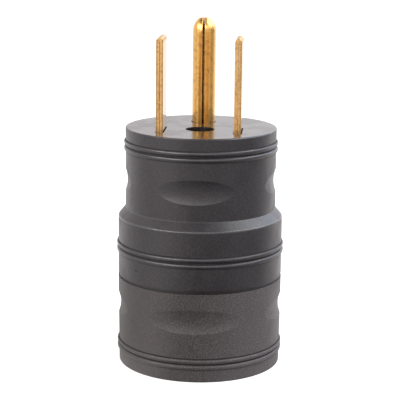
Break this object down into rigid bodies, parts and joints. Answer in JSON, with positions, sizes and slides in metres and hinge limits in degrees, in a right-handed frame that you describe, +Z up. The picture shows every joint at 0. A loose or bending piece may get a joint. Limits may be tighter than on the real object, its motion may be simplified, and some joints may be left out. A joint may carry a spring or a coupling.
{
  "type": "plug adapter",
  "caption": "Round dark plastic plug adapter: flat parallel blades and a rolled round ground pin on one end, a slotted socket face on the other.",
  "frame": {"origin": "centre of the resting rim of the socket end", "axes": "+Z up the barrel towards the pins, +Y the side of the round ground pin, -Y the side of the blades"},
  "size_m": [0.0564, 0.0564, 0.1159],
  "materials": {
    "plug_plastic": "smooth satin moulding, dark grey",
    "socket_plastic": "fine spark-textured moulding, warm dark grey",
    "pin_brass": "drawn sheet brass, lightly polished",
    "inner_plastic": "plain off-white moulding",
    "screw_steel": "zinc-plated steel",
    "link_copper": "bare copper strip",
    "rivet_brass": "plain brass",
    "contact_brass": "spring brass strip"
  },
  "bodies": {
    "root": {"plug_housing": "plug_plastic", "socket_housing": "socket_plastic", "line_blade_left": "pin_brass", "line_blade_right": "pin_brass", "ground_pin": "pin_brass", "blade_carrier": "inner_plastic", "contact_retainer": "inner_plastic", "carrier_screws": "screw_steel", "retainer_screws": "screw_steel", "assembly_screw": "screw_steel", "screw_washer": "screw_steel", "line_strap_left": "link_copper", "line_strap_right": "link_copper", "ground_strap": "link_copper", "blade_rivet_left": "rivet_brass", "blade_rivet_right": "rivet_brass", "ground_pin_rivet": "rivet_brass", "contact_rivet_left": "rivet_brass", "contact_rivet_right": "rivet_brass", "ground_contact_rivet": "rivet_brass", "line_contact_left": "contact_brass", "line_contact_right": "contact_brass", "neutral_contact": "contact_brass", "ground_contact": "contact_brass", "threaded_insert": "contact_brass"}
  },
  "joints": []
}
